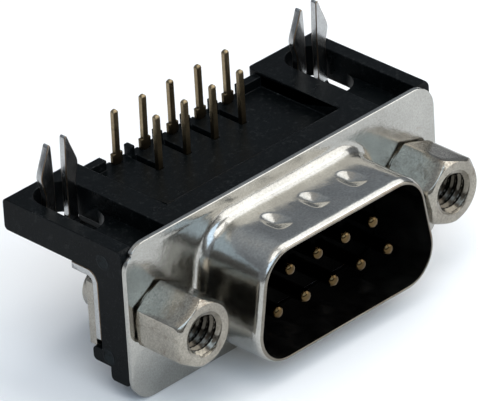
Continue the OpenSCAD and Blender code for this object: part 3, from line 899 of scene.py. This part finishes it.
def build_nut(name, x0, node_name):
    """Plate across the back of the strap with a barrel drawn out of it."""
    m = Mesh()
    side_gap, soft, foot, lip = 0.02, 0.07, 0.14, 0.08
    front = WALL_BACK + STRAP_T
    rear = front + NUT_T
    half = STRAP_W / 2 - side_gap

    def plate(by, y):
        """The plate's outline moved in by a distance."""
        pts = rounded_box(half, NUT_LOW, NUT_HIGH, NUT_CORNER, by, steps=8, x0=x0)
        return m.ring([(x, y, z) for x, z in pts])

    turn = [(soft * (1 - sin(a)), soft * (1 - cos(a))) for a in (0, 30, 60, 90)]
    loops = [plate(by, front + dy) for by, dy in turn]
    loops += [plate(by, rear - dy) for by, dy in reversed(turn)]
    profile = [(NUT_R + foot, rear), (NUT_R + 0.04, rear + 0.04), (NUT_R, rear + foot),
               (NUT_R, NUT_END - lip), (NUT_R - 0.03, NUT_END - 0.03), (NUT_R - lip, NUT_END),
               (NUT_BORE + lip, NUT_END), (NUT_BORE, NUT_END - 0.10), (NUT_BORE, front)]
    rings = [m.ring(circle(x0, y, 0.0, r, 64)) for r, y in profile]
    for chain in (loops, rings):
        for a, b in zip(chain, chain[1:]):
            m.bridge(a, b)
    m.flat([loops[0], rings[-1]])
    m.flat([loops[-1], rings[0]])
    add_piece(name, m, [NUT], node_name, sharp=50, weighted=True)


# Solids that stay, with softened edges

def eased_copy(name, node_name, mats, width, crisp=lambda edge: False):
    """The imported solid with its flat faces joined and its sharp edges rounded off."""
    flat_angle, sharp_angle = math.radians(0.6), math.radians(32)
    bm = bmesh.new()
    bm.from_mesh(NODES[node_name].data)
    bmesh.ops.remove_doubles(bm, verts=bm.verts, dist=2e-7)
    bmesh.ops.dissolve_limit(bm, angle_limit=flat_angle, verts=bm.verts, edges=bm.edges)
    edges = [e for e in bm.edges
             if e.is_manifold and e.calc_face_angle() > sharp_angle and not crisp(e)]
    bmesh.ops.bevel(bm, geom=edges, offset=width * MM, offset_type="OFFSET", segments=2,
                    profile=0.5, affect="EDGES", clamp_overlap=False, miter_outer="SHARP",
                    material=len(mats) - 1)
    m = Mesh()
    m.v = [tuple(v.co / MM) for v in bm.verts]
    bm.verts.index_update()
    m.f = [tuple(v.index for v in f.verts) for f in bm.faces]
    m.kinds = {k: f.material_index for k, f in enumerate(bm.faces) if f.material_index}
    bm.free()
    add_piece(name, m, mats, node_name, sharp=50, weighted=True)


def on_channel_floor(edge):
    return all(abs(v.co.z / MM - CHANNEL_Z) < 0.01 for v in edge.verts)


build_shell()
build_screwlock("screwlock_l", -HOLE_X, 0.0, "screwlock_left")
build_screwlock("screwlock_r", HOLE_X, HEX_TURN, "screwlock_right")
for number in range(1, 10):
    build_contact(number)
build_strap("strap_l", -HOLE_X, "strap_left")
build_strap("strap_r", HOLE_X, "strap_right")
eased_copy("bracket_piece", "bracket", [BRACKET, RUBBED], 0.07,
           on_channel_floor)
eased_copy("insulator_piece", "front_insulator", [INSULATOR], 0.04)
build_nut("nut_l", -HOLE_X, "nut_left")
build_nut("nut_r", HOLE_X, "nut_right")


# Floor, light and camera, in metres

def add_floor():
    half, below = 0.6, 0.00002
    z = cad_lo.z - below
    me = bpy.data.meshes.new("floor")
    corners = [(-half, -half, z), (half, -half, z), (half, half, z), (-half, half, z)]
    me.from_pydata(corners, [], [(0, 1, 2, 3)])
    mat, tree, shader = material("floor_paper")
    tone = noise_of(tree, coords(tree), scale=60, detail=4, rough=0.5)
    paper = ramp(tree, tone, [(0.3, (0.90, 0.90, 0.895)), (0.7, (0.93, 0.93, 0.925))])
    link(tree, paper, shader.inputs["Base Color"])
    shader.inputs["Roughness"].default_value = 0.9
    shader.inputs["Specular IOR Level"].default_value = 0.1
    me.materials.append(mat)
    ob = bpy.data.objects.new("floor", me)
    bpy.context.scene.collection.objects.link(ob)


def add_area(name, place, radiance, size, colour=(1, 1, 1)):
    """A soft box facing the object; its power follows from its radiance and size."""
    data = bpy.data.lights.new(name, "AREA")
    data.shape = "RECTANGLE"
    data.size, data.size_y = size
    data.energy = radiance * math.pi * size[0] * size[1]
    data.color = colour
    ob = bpy.data.objects.new(name, data)
    ob.location = place
    ob.rotation_euler = (-Vector(place)).to_track_quat("-Z", "Y").to_euler()
    bpy.context.scene.collection.objects.link(ob)


def add_world():
    """Dim bluish studio walls, lighter overhead, with an even front that is dark low down."""
    world = bpy.data.worlds.new("studio")
    bpy.context.scene.world = world
    world.use_nodes = True
    tree = world.node_tree
    back = tree.nodes["Background"]
    place = node(tree, "ShaderNodeTexCoord")
    sep = node(tree, "ShaderNodeSeparateXYZ")
    link(tree, place.outputs["Generated"], sep.inputs["Vector"])
    up = spread(tree, sep.outputs["Z"], 0.0, 1.0, -0.2, 1.0)
    walls = ramp(tree, up, [(0.0, grey(0.16)), (0.2, (0.100, 0.108, 0.118)),
                            (0.58, (0.108, 0.120, 0.138)), (0.80, (0.18, 0.20, 0.225)),
                            (0.90, grey(0.24)), (0.96, grey(0.30))])
    front = ramp(tree, up, [(0.27, grey(0.045)), (0.42, (0.17, 0.172, 0.172))])
    in_front = spread(tree, sep.outputs["Y"], 1.0, 0.0, -0.9, 0.1)
    link(tree, mix_colour(tree, in_front, walls, front), back.inputs["Color"])
    back.inputs["Strength"].default_value = 2.5


def add_camera():
    """The camera fitted to the photo, looking along f with r to the right and u up."""
    az, el, roll = CAMERA_AZ, CAMERA_EL, CAMERA_ROLL
    f = Vector((sin(-az) * cos(el), cos(az) * cos(el), -sin(el)))
    level = Vector((cos(az), sin(az), 0))
    upright = level.cross(f)
    r = cos(roll) * level + sin(roll) * upright
    u = -sin(roll) * level + cos(roll) * upright
    cam = bpy.data.cameras.new("camera")
    cam.sensor_width = SENSOR_W
    cam.sensor_fit = "HORIZONTAL"
    cam.lens = CAMERA_SCALE * CAMERA_FAR / PHOTO_W * SENSOR_W
    cam.clip_start, cam.clip_end = 0.05, 5
    ob = bpy.data.objects.new("camera", cam)
    place = (r * CAMERA_RIGHT + u * CAMERA_UP - f * CAMERA_FAR) * MM
    ob.matrix_world = Matrix.Translation(place) @ Matrix((r, u, -f)).transposed().to_4x4()
    bpy.context.scene.collection.objects.link(ob)
    bpy.context.scene.camera = ob


add_floor()
add_world()
add_area("front_box", (0.249, -0.271, 0.202), radiance=2.15, size=(0.32, 0.41))
add_area("top_box", (0.249, 0.000, 0.338), radiance=1.85, size=(0.32, 0.39))
add_area("over_box", (-0.10, -0.05, 0.40), radiance=1.9, size=(0.26, 0.26))
add_area("left_box", (-0.18, -0.27, 0.27), radiance=1.75, size=(0.46, 0.24),
         colour=(0.64, 0.87, 1.14))
add_camera()
bpy.context.scene.view_settings.view_transform = "Standard"
bpy.context.scene.view_settings.look = "None"
